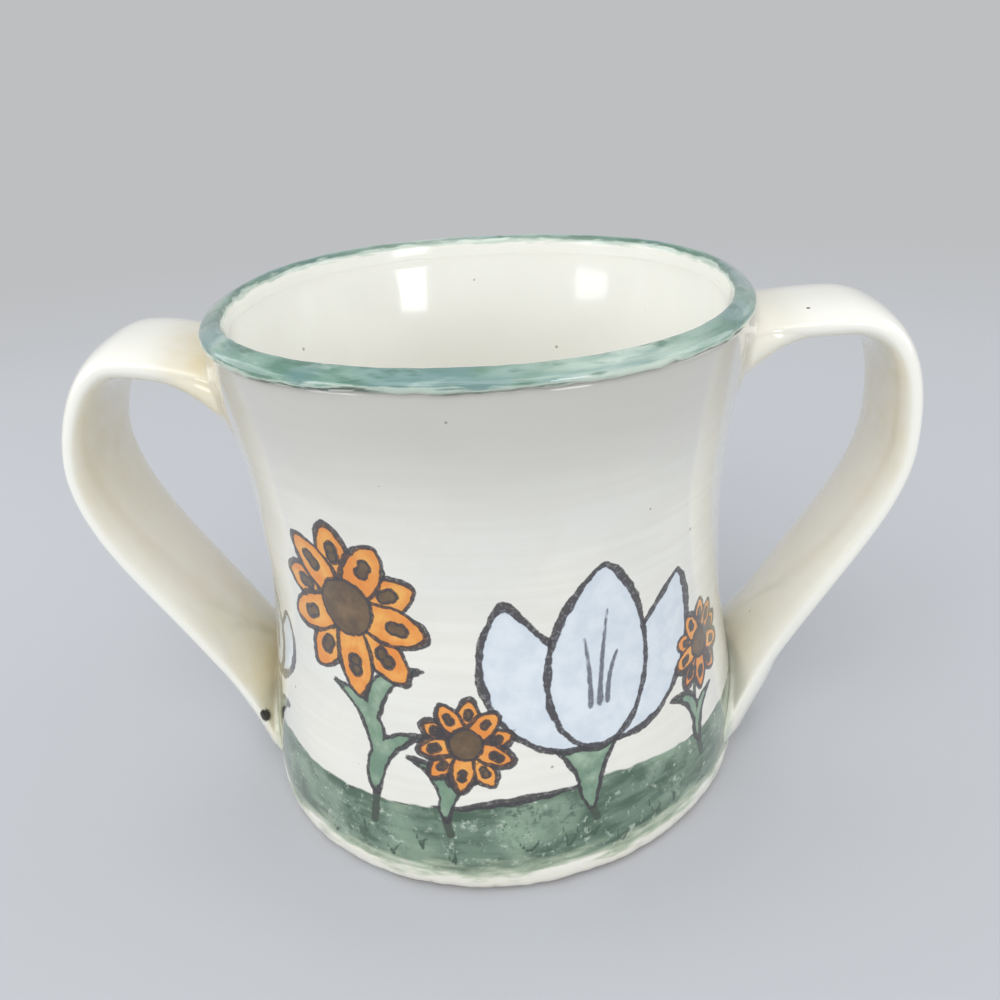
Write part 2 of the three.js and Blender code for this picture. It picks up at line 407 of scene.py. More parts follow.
levels, least, most = ring_line("wall")
two_faced = most - least > 1 * mm
outer_curve = np.polynomial.Polynomial.fit(levels[1:], most[1:], 7)
inner_curve = np.polynomial.Polynomial.fit(levels[two_faced], least[two_faced], 7)
slab_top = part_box("foot_slab")[1].z
slab_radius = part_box("foot_slab")[1].x
wall_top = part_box("wall")[1].z
lip_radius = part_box("lip")[1].x
mug_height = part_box("lip")[1].z
misses = abs(outer_curve(levels[1:]) - most[1:]).max()
print("the curve misses the rings by", round(misses / mm, 3), "mm at most")

# %% [markdown]
# ## The unevenness of a hand-made cup
#
# No pot made by hand is truly round. The foot of this one has three soft corners, its rim has four, and the
# foot sits a hair to the right of the rim. Sine waves round the axis describe such shapes well. The same
# function moves every piece of the cup, so that they still meet.

# %% Out of round
foot_waves = {2: (-0.004, 0.007), 3: (0.009, 0), 4: (-0.001, 0), 5: (0.001, 0.0012), 7: (-0.0008, 0.001)}
waist_waves = {1: (-0.002, 0), 2: (0.014, 0)}
rim_waves = {1: (0.0018, 0), 3: (0.0009, 0.009), 4: (-0.014, 0.0031)}
dents = [(4, 0.21, 0.3), (7, -0.13, 1.9), (9, 0.30, 4.1), (13, 0.17, 2.2)]
dent_depth = 0.0008
foot_shift = 0.3 * mm
shrink = 0.006


def ease(value):
    value = np.clip(value, 0, 1)
    return value * value * (3 - 2 * value)


def waves(turn, shares):
    return sum(c * np.cos(n * turn) + s * np.sin(n * turn) for n, (c, s) in shares.items())


def stretch_at(turn, height):
    """How much wider than true the cup is at an angle and a height, as a factor."""
    share = height / mug_height
    low = ease(1 - share / 0.6)
    middle = ease((share - 0.35) / 0.25) * ease((1 - share) / 0.2)
    high = ease((share - 0.4) / 0.6)
    dented = sum(np.sin(n * turn + rise * height / mm + start) for n, rise, start in dents)
    return (1 - shrink + low * waves(turn, foot_waves) + middle * waves(turn, waist_waves)
            + high * waves(turn, rim_waves) + dent_depth * dented)


def shift_at(height):
    return foot_shift * ease(1 - height / mug_height)


def hand_made(places):
    """Moves points of a true cup to where the potter's hands left them."""
    turn = np.arctan2(places[:, 1], places[:, 0])
    stretch = stretch_at(turn, places[:, 2])
    shift = shift_at(places[:, 2])
    return np.stack([places[:, 0] * stretch + shift, places[:, 1] * stretch, places[:, 2]], 1)


def outside_wall(places):
    """How far points are from the wall's outer face; less than nothing inside it."""
    x = places[:, 0] - shift_at(places[:, 2])
    turn = np.arctan2(places[:, 1], x)
    height = np.clip(places[:, 2], slab_top, wall_top)
    return np.hypot(x, places[:, 1]) / stretch_at(turn, places[:, 2]) - outer_curve(height)


def on_outer_face(places):
    """Which of the wall's points lie on its outer face and not on the inner one."""
    return outside_wall(places) > -1 * mm


def ragged(turn, seed, size):
    """An uneven line round the cup, such as the edge of a glaze."""
    phases = np.random.default_rng(seed).uniform(0, math.tau, 9)
    return size * sum(np.sin(n * turn + p) / math.sqrt(k + 1)
                      for k, (n, p) in enumerate(zip((3, 5, 8, 13, 19, 29, 41, 59, 83), phases)))

# %% [markdown]
# ## Glaze
#
# The glaze is clear over a cream slip. It is glossy, with a skin that is never quite flat, and warmer where
# it pools; that yellow is also painted shade in the corners. The first cell holds the cream itself, with
# its soft clouds, iron specks and brushed streaks, and a lighter and a greyer cream that are painted light
# and painted shade. In the second, one function turns any colour recipe into a fired finish with a gloss
# and small dents.

# %% The cream ground
cream_light = paint(238, 237, 230)
cream_warm = paint(237, 232, 211)
cream_cool = paint(230, 231, 227)
cream_shade = paint(220, 217, 207)
# A lighter cream: painted light, for the inside of the cup, its floor and the straps.
cream_painted_light = paint(244, 243, 235)
# A greyer cream: painted shade, for the outside of the wall under the lip.
cream_shade_under_lip = paint(191, 189, 182)
# Yellow of glaze pooled in corners, also used as painted shade there and on the straps' inner faces.
pooled_glaze_and_shade = paint(222, 203, 150)
speck_brown = paint(96, 84, 66)


def millimetres(recipe):
    """Object coordinates counted in millimetres."""
    place = recipe.add("ShaderNodeTexCoord").outputs["Object"]
    return recipe.vector_math("MULTIPLY", place, (1 / mm,) * 3)[0]


def cream_ground(recipe, place, warmth, seed):
    """The cream colour with soft clouds; warmth is from 0, cool, to 1, warm."""
    cloud = recipe.noise(place, 22, seed, 3)
    colour = recipe.blend(recipe.step(cloud, 0.35, 0.65), cream_cool, cream_light)
    mottle = recipe.step(recipe.noise(place, 6, seed + 2, 3, 0.55), 0.44, 0.7)
    colour = recipe.blend(recipe.times(mottle, 0.2), colour, cream_shade)
    amount = recipe.times(recipe.noise(place, 15, seed + 4, 2), warmth, 2.0)
    return recipe.blend(recipe.math("MINIMUM", amount, 1.0), colour, cream_warm)


def speckled(recipe, place, colour, strength, spacing, share, size, seed):
    """The colour with small iron specks, in a share of the cells of a grid that is spacing wide."""
    shifted = recipe.vector_math("ADD", place, (seed,) * 3)[0]
    cells = recipe.add("ShaderNodeTexVoronoi", {"Vector": shifted, "Scale": 1 / spacing})
    chance, width, _ = recipe.parts(cells.outputs["Color"])
    reach = recipe.times(recipe.plus(width, 0.35), size / spacing)
    inside = recipe.step(recipe.math("DIVIDE", cells.outputs["Distance"], reach), 1.0, 0.55)
    shows = recipe.times(inside, recipe.math("LESS_THAN", chance, share))
    return recipe.blend(recipe.times(shows, strength), colour, speck_brown)


def streaked(recipe, place, along, across, seed, detail=3.0):
    """Noise drawn out round the cup, as a brush leaves it: long marks that are only a little high."""
    x, y, height = recipe.parts(place)
    facing = recipe.vector_math("NORMALIZE", recipe.vector(x, y, 0.0))[0]
    rise = recipe.vector(0.0, 0.0, recipe.math("DIVIDE", height, across))
    sweep = recipe.vector_math("MULTIPLY_ADD", facing, (45 / along,) * 3, rise)[0]
    return recipe.noise(sweep, 1.0, seed, detail)

# %% Gloss and skin
def fired(name, colour_recipe, roughness=(0.12, 0.2), skin=0.04, coat=0.8):
    """A fired finish: its colour recipe, a gloss that varies, and a skin with faint hills and pinholes."""
    finish = bpy.data.materials.new(name)
    finish.use_nodes = True
    recipe = Recipe(finish.node_tree)
    place = millimetres(recipe)
    shader = finish.node_tree.nodes["Principled BSDF"]
    colour, relief, dullness = colour_recipe(recipe, place)
    gloss = recipe.plus(recipe.lerp(recipe.noise(place, 6, 3, 2), roughness[0], roughness[1]), dullness)
    hills = recipe.times(recipe.noise(place, 5.5, 7, 1), skin)
    peel = recipe.times(recipe.noise(place, 0.9, 8, 1), skin * 0.14)
    height = recipe.plus(hills, peel, relief)
    bump = recipe.add("ShaderNodeBump", {"Strength": 1.0, "Distance": mm, "Height": height})
    for socket, value in (("Base Color", colour), ("Roughness", gloss), ("Normal", bump.outputs[0])):
        finish.node_tree.links.new(value, shader.inputs[socket])
    shader.inputs["IOR"].default_value = 1.5
    shader.inputs["Coat Weight"].default_value = coat
    shader.inputs["Coat Roughness"].default_value = 0.075
    return finish

# %% [markdown]
# ## The wall's painting
#
# Round the foot runs a band of watery green with a dark ground line, and above it stand large flowers in
# pale grey-blue and in orange with brown, each drawn with a loaded black brush. An image could hold such a
# drawing, but it would blur up close. Here each point of the wall stores how far it is from the edge of a
# petal, a leaf or a brush line. The finish then decides what lies inside, so every edge stays sharp.

# %% Shapes on the unrolled wall
mean_radius = 42.0
round_the_wall = math.tau * mean_radius
far_off = 50.0
layers = ("tuft", "ground_line", "stem", "leaf", "blue_back", "blue_front", "orange_back", "orange_front",
          "brown", "vein")


def unrolled(places):
    """Points of the wall in millimetres: across from the middle of the front, and up."""
    turn = np.arctan2(places[:, 1], places[:, 0]) + math.pi / 2
    turn = (turn + math.pi) % math.tau - math.pi
    return np.stack([turn * mean_radius, places[:, 2] / mm], 1)


def brush_path(start, end, bow, steps=20):
    """Points on a bowed line; bow is how far its middle is pushed to the left of the way."""
    start, end = np.array(start, float), np.array(end, float)
    way = end - start
    to_the_left = np.array([-way[1], way[0]]) / np.hypot(*way)
    share = np.linspace(0, 1, steps)[:, None]
    return start + share * way + 4 * share * (1 - share) * bow * to_the_left


def blob(spots, path, half_widths):
    """Distance from the edge of a shape swept along a path by a round brush of changing width."""
    away = np.full(len(spots), far_off)
    reach = 8 + np.max(half_widths)
    low, high = path.min(0) - reach, path.max(0) + reach
    near = np.nonzero(np.all((spots > low) & (spots < high), 1))[0]
    for centre, half in zip(path, np.broadcast_to(half_widths, len(path))):
        away[near] = np.minimum(away[near], np.hypot(*(spots[near] - centre).T) - half)
    return away


def petal(spots, base, angle, length, half, bow=0.0, fullness=0.9):
    """A petal or leaf that grows from its base; the angle is from upright, to the right."""
    tip = (base[0] + length * math.sin(angle), base[1] + length * math.cos(angle))
    path = brush_path(base, tip, bow, 40)
    share = np.linspace(0, 1, len(path)) ** fullness
    return blob(spots, path, half * np.sin(math.pi * share) ** 0.8)

# %% Filling and drawing
class Drawing:
    """Distances from every painted edge, for the points of the wall: one field for each layer of paint."""

    def __init__(self, spots):
        self.spots = spots
        self.away = {name: np.full(len(spots), far_off) for name in layers}

    def around(self, place):
        """The points as seen from a place round the wall, so that the drawing crosses the seam."""
        across = (self.spots[:, 0] - place + round_the_wall / 2) % round_the_wall - round_the_wall / 2
        return np.stack([across, self.spots[:, 1]], 1)

    def lay(self, layer, away):
        self.away[layer] = np.minimum(self.away[layer], away)

# %% Flowers
def stem(drawing, spots, height, lean, thick):
    """A stem from the ground to the flower's base, and the points along it."""
    path = brush_path((-lean * height * 0.8, ground_height - 5), (0, height), 2.0 * np.sign(lean), 60)
    drawing.lay("stem", blob(spots, path, np.linspace(1.25, 0.8, len(path)) * thick))
    return path


def leaves(drawing, spots, path, size, shares):
    """Long bowed leaves that leave the stem by turns to the right and to the left."""
    for number, share in enumerate(shares):
        side = -1 if number % 2 else 1
        base = path[int(share * (len(path) - 1))]
        drawing.lay("leaf", petal(spots, base, side * 0.62, size, size * 0.11, side * size * 0.24, 0.75))


def tulip(drawing, place, height, size, lean):
    """Broad petals in pale grey-blue, one in front of the others."""
    spots = drawing.around(place)
    path = stem(drawing, spots, height, lean, 0.6)
    leaves(drawing, spots, path, size * 0.62, (0.12, 0.2))
    for side in (-1, 1):
        drawing.lay("blue_back", petal(spots, (0, height), lean + side * 0.6, size * 0.95, size * 0.25,
                                       side * size * -0.15, 0.75))
    drawing.lay("blue_front", petal(spots, (0, height - 1), lean, size, size * 0.3, 0, 0.72))
    for side, reach in ((-0.17, 0.55), (0.05, 0.7), (0.24, 0.45)):
        tip = (size * reach * math.sin(lean + side), height + size * reach * math.cos(lean + side))
        path = brush_path((size * 0.25 * side, height + size * 0.14), tip, side * 2, 40)
        drawing.lay("vein", blob(spots, path, np.linspace(0.55, 0.3, len(path))))


def daisy(drawing, place, height, size, lean):
    """A ring of orange petals, spotted brown, round a brown middle."""
    spots = drawing.around(place)
    path = stem(drawing, spots, height, lean, 0.6)
    leaves(drawing, spots, path, size * 0.75 + 4, (0.14, 0.3, 0.45)[:2 + (height > 45)])
    for number in range(10):
        angle = lean + math.tau * number / 10
        reach = size * (1 + 0.08 * math.sin(5.3 * number))
        layer = "orange_front" if number % 2 else "orange_back"
        drawing.lay(layer, petal(spots, (0, height), angle, reach, size * 0.23, 0, 1.2))
        spot = [(r * reach * math.sin(angle), height + r * reach * math.cos(angle)) for r in (0.6, 0.7)]
        drawing.lay("brown", blob(spots, np.array(spot), size * 0.075))
    drawing.lay("brown", blob(spots, np.array([(0, height)]), size * 0.34))

# %% The whole garden
ground_height = 17.5
garden = [
    (daisy, -23, 50, 14.5, -0.1), (daisy, -4, 29, 8, 0.12), (tulip, 17, 29, 29, 0.07),
    (daisy, 41, 33, 8, 0.12), (daisy, 82, 46, 13, 0.1),
    (tulip, 105, 31, 23, -0.06), (daisy, -125, 44, 11, 0.1), (tulip, -100, 28, 17, 0.12),
    (daisy, -76, 47, 12, -0.1), (tulip, -49, 28, 16, -0.08),
]


def ground_line(drawing):
    """The top of the green band, with a dark line that swells and thins. Returns the height above it."""
    across = drawing.spots[:, 0] / mean_radius
    top = ground_height + 1.3 * np.sin(2 * across + 1) + 0.8 * np.sin(5 * across) + ragged(across, 5, 0.18)
    above = drawing.spots[:, 1] - top
    swell = 0.1 + 0.75 * np.clip(np.sin(3 * across + 1.2), 0, 1) ** 3 + ragged(across, 6, 0.08)
    drawing.lay("ground_line", np.abs(above) - swell)
    return above


def grass(drawing):
    """Short slanting strokes in the band, darker than the green around them."""
    draw = np.random.default_rng(11)
    for place in np.arange(-round_the_wall / 2, round_the_wall / 2 - 3, 6.1):
        foot = (draw.uniform(-3, 3), draw.uniform(5, 10))
        for lean in (draw.uniform(-2.2, -0.4), draw.uniform(0.2, 2.4)):
            tip = (foot[0] + lean, foot[1] + draw.uniform(1.5, 5))
            path = brush_path(foot, tip, draw.uniform(-0.6, 0.6), 30)
            drawing.lay("tuft", blob(drawing.around(place), path, np.linspace(0.32, 0.12, len(path))))


def paint_wall(piece):
    places = places_of(piece)
    outside = on_outer_face(places)
    drawing = Drawing(unrolled(places[outside]))
    above = ground_line(drawing)
    grass(drawing)
    for flower, *sizes in garden:
        flower(drawing, *sizes)
    for name, away in {**drawing.away, "ground": above}.items():
        everywhere = np.full(len(places), far_off)
        everywhere[outside] = away
        remember(piece, name, everywhere)
    remember(piece, "inside", ~outside)
    print("painted", len(garden), "flowers on", int(outside.sum()), "points")

# %% [markdown]
# ## The wall's finish
#
# The finish reads the stored distances. A soft step at each edge, moved about by a little noise, gives the
# edge of a brush mark. Watery colour is thin in the middle and darker where it dried, so each fill also
# has clouds of its own. The black lines let the ground show through here and there, as a dry brush does.

# %% Colours laid over the cream
ink = paint(50, 46, 50)


def cup_ground(recipe, place):
    """The cream of the wall and the foot, which runs on over the line where they meet."""
    _, _, height = recipe.parts(place)
    inside = recipe.attribute("inside")
    colour = cream_ground(recipe, place, recipe.step(height, 10, 0, 0.16, 0.5), 1)
    faint = recipe.step(streaked(recipe, place, 26, 1.4, 21, 2), 0.3, 0.7, 0.05, 0.35)
    outside = recipe.blend(faint, colour, cream_shade)
    # Painted shade: the outside turns greyer towards the top, under the lip.
    outside = recipe.blend(recipe.step(height, 58, 88, 0.1, 0.95), outside, cream_shade_under_lip)
    # Painted light: the inside of the cup is a lighter cream than the outside.
    return recipe.blend(inside, outside, recipe.blend(0.85, colour, cream_painted_light))


def green_tones(recipe, place):
    """The brushed green: wet streaks, dark blots and places where the cream shines through."""
    wet = recipe.step(streaked(recipe, place, 8, 1.9, 2, 4), 0.36, 0.64)
    green = recipe.blend(wet, paint(64, 90, 72), paint(104, 128, 108))
    broad = recipe.step(recipe.noise(place, 12, 5, 2), 0.46, 0.64)
    green = recipe.blend(recipe.times(broad, 0.55), green, paint(158, 180, 156))
    blots = recipe.step(recipe.noise(place, 2.2, 9, 4, 0.72), 0.48, 0.62)
    smudge = recipe.step(recipe.noise(place, 10, 23, 2), 0.42, 0.58, 0.15, 0.8)
    green = recipe.blend(recipe.times(blots, smudge), green, paint(60, 84, 68))
    bare = recipe.step(recipe.noise(place, 1.7, 13, 4, 0.7), 0.56, 0.7)
    return recipe.blend(recipe.times(bare, 0.6), green, paint(200, 212, 197))


def green_band(recipe, place, below, above=None):
    """The green round the foot, up to the ground line, with a ragged, yellower lower edge."""
    _, _, height = recipe.parts(place)
    ragged_low = recipe.plus(height, recipe.step(streaked(recipe, place, 6, 1.5, 8), 0.2, 0.8, -1.6, 1.6))
    edge_tone = recipe.times(recipe.step(ragged_low, 7.5, 4.5), 0.65)
    green = recipe.blend(edge_tone, green_tones(recipe, place), paint(194, 205, 178))
    inside = recipe.step(ragged_low, 3.0, 5.2)
    if above is not None:
        inside = recipe.times(inside, recipe.step(above, 0.25, -0.25))
    return recipe.blend(inside, below, green)


def brush_fields(recipe, place):
    """What all the brush marks share: how edges wander, how colour clouds, and where the brush runs dry."""
    centred = recipe.math("SUBTRACT", recipe.noise(place, 1.5, 11, 3), 0.5)
    fine = recipe.noise(place, 0.6, 14, 2, 0.6)
    cloud = recipe.step(recipe.noise(place, 4.5, 12, 4, 0.6), 0.34, 0.66)
    return dict(wander=recipe.times(centred, 0.8), cloud=cloud, width=recipe.noise(place, 6, 13, 1),
                dry=recipe.step(fine, 0.68, 0.5, 0.8, 0.96))


def stroke(recipe, fields, below, layer, colour):
    """A mark of the loaded brush."""
    away = recipe.plus(recipe.attribute(layer), recipe.times(fields["wander"], 0.5))
    inside = recipe.step(away, 0.1, -0.16)
    return recipe.blend(recipe.times(inside, fields["dry"]), below, colour)


def filled(recipe, fields, below, layer, colour, thinner, line):
    """A watery colour inside its painted edge, darker where it dried, with an ink line along the edge."""
    away = recipe.plus(recipe.attribute(layer), fields["wander"])
    tone = recipe.blend(fields["cloud"], colour, thinner)
    tone = recipe.blend(recipe.times(recipe.step(away, -2.0, -0.4), 0.5), tone, colour)
    below = recipe.blend(recipe.step(away, 0.12, -0.2), below, tone)
    half = recipe.step(fields["width"], 0.3, 0.7, line * 0.35, line * 0.75)
    inside = recipe.step(recipe.math("SUBTRACT", recipe.math("ABSOLUTE", away), half), 0.1, -0.12)
    return recipe.blend(recipe.times(inside, fields["dry"]), below, ink)

# %% The wall's colours, one over the other
def wall_colour(recipe, place):
    fields = brush_fields(recipe, place)
    colour = green_band(recipe, place, cup_ground(recipe, place), recipe.attribute("ground"))
    colour = stroke(recipe, fields, colour, "tuft", paint(52, 76, 60))
    colour = stroke(recipe, fields, colour, "ground_line", ink)
    colour = stroke(recipe, fields, colour, "stem", paint(58, 70, 58))
    colour = filled(recipe, fields, colour, "leaf", paint(104, 134, 112), paint(158, 180, 156), 0.7)
    for layer in ("blue_back", "blue_front"):
        colour = filled(recipe, fields, colour, layer, paint(205, 214, 223), paint(219, 226, 231), 1.2)
    for layer in ("orange_back", "orange_front"):
        colour = filled(recipe, fields, colour, layer, paint(224, 136, 52), paint(235, 172, 84), 0.85)
    colour = filled(recipe, fields, colour, "brown", paint(86, 68, 48), paint(120, 96, 66), 0.6)
    colour = stroke(recipe, fields, colour, "vein", paint(96, 100, 110))
    colour = speckled(recipe, place, colour, 0.55, 5.5, 0.5, 0.34, 3)
    # Pooled glaze and painted shade: yellower on the wall beside the straps' roots.
    colour = recipe.blend(recipe.times(recipe.attribute("pool"), 0.33), colour, pooled_glaze_and_shade)
    return colour, 0.0, 0.0


wall_glaze = fired("painted_glaze", wall_colour)

# %% [markdown]
# ## Turning the wall
#
# The wall's outline runs up the outside, over the hidden top edge, and down the inside. The rows lie close
# together outside, because they carry the painting, and further apart inside. Fingers leave shallow rings
# on the inside of a cup, so the inner face ripples a little.

# %% Wall
steps_round = 600
ripple_depth = 0.15 * mm
ripple_length = 24 * mm
ripple_top = 83 * mm
painting_top = 72 * mm
lip_foot = 84.5 * mm


def inner_radius(height):
    ripple = ripple_depth * np.sin(math.tau * (height - ripple_top) / ripple_length)
    under_lip = 0.8 * mm * ease((height - 85.9 * mm) / (1.3 * mm))
    ripple = ripple * ease((height - slab_top) / (12 * mm))
    return inner_curve(np.minimum(height, wall_top)) + ripple + under_lip


def wall_outline():
    low = slab_top - 0.1 * mm
    top = wall_top + 0.6 * mm
    outside = np.concatenate([np.linspace(low, painting_top, 104), np.linspace(painting_top, top, 14)[1:]])
    inside = np.concatenate([np.linspace(top, lip_foot, 14), np.linspace(lip_foot, low, 36)[1:]])
    toe = [(outer_curve(slab_top) - inwards * mm, slab_top - down * mm)
           for inwards, down in ((0.5, 0.9), (0.15, 0.5))]
    rise = list(zip(outer_curve(np.clip(outside, slab_top, wall_top)), outside))
    fall = list(zip(inner_radius(np.maximum(inside, slab_top)), inside))
    points = toe + rise + fall
    return points + points[:1]


wall = run_tree("painted_wall", turning, outline_mesh(wall_outline()), steps_round=steps_round,
                finish=wall_glaze)
move_to(wall, hand_made(places_of(wall)))
paint_wall(wall)
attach(wall, "root")
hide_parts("wall")
print("wall:", 2 * len(wall.data.polygons), "triangles")

# %% [markdown]
# ## The lip
#
# The lip is a coil laid on the wall and rounded with a wet leather. It stands a little proud of the wall,
# and its lower edge is uneven where the green glaze ran and stopped. The outline is a squarish dome over a
# short undercut, and the lower edge is then pushed up and down round the cup. At two places, one in front
# and one behind, the brush ran dry and the green is pale.

# %% Green lip finish
def lip_colour(recipe, place):
    wet = recipe.step(streaked(recipe, place, 9, 1.0, 14, 4), 0.34, 0.66)
    colour = recipe.blend(wet, paint(88, 128, 111), paint(132, 164, 150))
    blue = recipe.step(recipe.noise(place, 13, 33, 2), 0.46, 0.6)
    colour = recipe.blend(recipe.times(blue, 0.5), colour, paint(112, 144, 152))
    pale = recipe.step(streaked(recipe, place, 9, 0.8, 44, 4), 0.3, 0.62, 0.35, 0.95)
    thin = recipe.math("MAXIMUM", recipe.times(recipe.attribute("thin"), pale),
                       recipe.step(streaked(recipe, place, 7, 0.9, 44, 4), 0.55, 0.74, 0, 0.5))
    colour = recipe.blend(thin, colour, paint(196, 211, 199))
    deep = recipe.step(streaked(recipe, place, 5, 0.7, 35, 4), 0.56, 0.72)
    colour = recipe.blend(recipe.times(deep, 0.6), colour, paint(66, 106, 86))
    uneven = recipe.step(streaked(recipe, place, 5, 0.7, 52, 4), 0.3, 0.7, -0.35, 0.35)
    fall = recipe.plus(recipe.attribute("fall"), uneven)
    patchy = recipe.step(streaked(recipe, place, 11, 2, 62), 0.4, 0.6)
    # Painted highlight: a pale band along the lower roll of the lip.
    colour = recipe.blend(recipe.times(recipe.step(fall, 1.1, 0.7), 0.7), colour, paint(200, 211, 196))
    line = recipe.times(recipe.step(fall, 0.05, 0.25), recipe.step(fall, 0.75, 0.45), patchy)
    colour = recipe.blend(line, colour, paint(76, 88, 76))
    ground = cup_ground(recipe, place)
    colour = recipe.blend(recipe.step(fall, 0.25, 0.0), colour, ground)
    inner = recipe.plus(recipe.attribute("inner"), recipe.times(uneven, 0.8))
    edge = recipe.times(recipe.step(inner, -0.5, 0.0), recipe.step(inner, 0.6, 0.1), 0.45)
    colour = recipe.blend(edge, colour, paint(74, 98, 80))
    colour = recipe.blend(recipe.times(recipe.step(inner, 0.1, 0.6), 0.75), colour, paint(208, 219, 206))
    colour = recipe.blend(recipe.step(inner, 0.7, 1.4), colour, ground)
    return colour, recipe.times(wet, 0.02), 0.02


lip_glaze = fired("lip_glaze", lip_colour, (0.1, 0.18), 0.06)

# %% Lip
lip_inner = inner_radius(86 * mm)
lip_bevel = [(0.68, -0.6), (1.02, -0.34), (1.4, -0.24), (1.85, -0.34), (2.4, -0.55), (3.0, -0.85),
             (3.5, -1.12), (3.8, -1.36), (4.02, -1.64), (4.17, -1.98), (4.22, -2.3), (4.17, -2.62),
             (3.97, -2.88), (3.6, -3.05), (3.0, -3.1)]


def lip_outline():
    """The lip's section: its inner face, which grows out of the wall's, the sloping top and the roll."""
    inner_face = [(0.5, -4.5), (0.04, -4.3), (-0.02, -3.9), (0.02, -3.3), (0.08, -2.7), (0.15, -2.1),
                  (0.25, -1.5), (0.42, -1.0)]
    scale = (lip_radius - lip_inner) / (max(across for across, _ in lip_bevel) * mm)
    section = np.array(inner_face + lip_bevel) * mm
    points = [(lip_inner + across * scale, mug_height + up) for across, up in section]
    fine = []
    for number, point in enumerate(points):
        following = points[(number + 1) % len(points)]
        before, after = points[number - 1], points[(number + 2) % len(points)]
        for share in (0, 0.25, 0.5, 0.75):
            fine.append(tuple(spline(share, *four) for four in zip(before, point, following, after)))
    return fine[::-1] + fine[-1:]


def spline(share, before, start, end, after):
    """A value on the smooth curve through four others, between the middle two."""
    a, b = end - before, after - start
    return (start + share * a / 2 + share ** 2 * (3 * (end - start) - a - b / 2)
            + share ** 3 * (a / 2 + b / 2 - 2 * (end - start)))

# %% Shaping and marking the lip
dry_places = [(-1.1, 0.3), (1.7, 0.5)]


def finish_lip(piece):
    places = places_of(piece)
    turn = np.arctan2(places[:, 1], places[:, 0])
    radius = np.hypot(places[:, 0], places[:, 1])
    below = (mug_height - places[:, 2]) / mm
    outer = ease((radius - lip_radius + 1.8 * mm) / (0.8 * mm))
    low = ease((below - 1.4) / 1.6)
    remember(piece, "fall", np.where(outer > 0.5, 3.0 - below, 9))
    is_inner = radius < lip_inner + 1.0 * mm
    remember(piece, "inner", np.where(is_inner, below - 0.5, -9))
    remember(piece, "inside", is_inner)
    remember(piece, "thin", sum(np.exp(-((turn - middle) / reach) ** 2) for middle, reach in dry_places))
    places[:, 2] += outer * low * ragged(turn, 21, 0.12 * mm)
    places[:, :2] *= (1 + outer * low * ragged(turn, 22, 0.0012))[:, None]
    places[:, 2] -= (0.1 * mm + ragged(turn, 23, 0.03 * mm)) * ease(1 - below / 2.5)
    move_to(piece, hand_made(places))


lip = run_tree("green_lip", turning, outline_mesh(lip_outline()), steps_round=steps_round,
               finish=lip_glaze)
finish_lip(lip)
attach(lip, "root")
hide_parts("lip")
print("lip:", 2 * len(lip.data.polygons), "triangles")

# %% [markdown]
# ## The floor inside
#
# A coil is pressed into the corner between wall and floor, and glaze runs down and gathers there. One
# smooth outline holds the hollow corner and the flat floor, a hair above the slab.

# %% Floor and corner
glaze_depth = 0.25 * mm


def floor_colour(recipe, place):
    # Painted light: the floor inside is mostly the lighter cream.
    colour = recipe.blend(0.7, cream_ground(recipe, place, 0.55, 8), cream_painted_light)
    return speckled(recipe, place, colour, 0.5, 8, 0.3, 0.35, 9), 0.0, 0.0


floor_glaze = fired("inside_glaze", floor_colour, (0.07, 0.16), 0.06)


def floor_outline():
    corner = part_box("floor_coil")[1].z - slab_top
    levels = np.linspace(0, 1, 20)
    wall_side = [(inner_radius(slab_top + corner * share) + 0.2 * mm, slab_top + corner * share)
                 for share in levels]
    toe = inner_curve(slab_top) - 1.6 * corner
    top = wall_side[-1]
    level = slab_top + glaze_depth
    hollow = [(top[0] * (1 - s) ** 2 + 2 * s * (1 - s) * (top[0] - 0.6 * mm) + s * s * toe,
               top[1] * (1 - s) ** 2 + (1 - (1 - s) ** 2) * level) for s in levels[1:]]
    flat = [(toe * (1 - share), level) for share in np.linspace(0, 1, 24)[1:]]
    return [(0, slab_top - 0.1 * mm), (wall_side[0][0], slab_top - 0.1 * mm)] + wall_side + hollow + flat


floor_inside = run_tree("inside_floor", turning, outline_mesh(floor_outline()), steps_round=224,
                        finish=floor_glaze)
move_to(floor_inside, hand_made(places_of(floor_inside)))
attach(floor_inside, "root")
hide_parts("floor_coil")
print("floor inside:", 2 * len(floor_inside.data.polygons), "triangles")

# %% [markdown]
# ## The foot
#
# The slab's edge shows below the green band as a cream roll that a sponge has rounded. It is bare and
# pinkish right at the bottom, where the potter wiped the glaze off so that it can't stick to the shelf.

# %% Foot
bare_clay = paint(206, 186, 164)


def foot_colour(recipe, place):
    _, _, height = recipe.parts(place)
    colour = green_band(recipe, place, cup_ground(recipe, place))
    wipe = recipe.plus(height, recipe.step(streaked(recipe, place, 5, 1.2, 15, 4), 0.25, 0.75, -1.1, 1.1))
    colour = recipe.blend(recipe.step(wipe, 1.5, 0.2), colour, bare_clay)
    spotted = recipe.step(recipe.noise(place, 2.5, 16, 3), 0.5, 0.7)
    stain = recipe.times(spotted, recipe.step(wipe, 2.6, 1.0), 0.4)
    colour = recipe.blend(stain, colour, paint(150, 140, 122))
    colour = speckled(recipe, place, colour, 0.5, 4, 0.3, 0.3, 19)
    grain = recipe.times(recipe.noise(place, 0.5, 17, 3), recipe.step(wipe, 1.8, 0.6, 0, 0.08))
    return colour, grain, recipe.step(wipe, 1.6, 0.5, 0, 0.45)


foot_glaze = fired("foot_glaze", foot_colour)


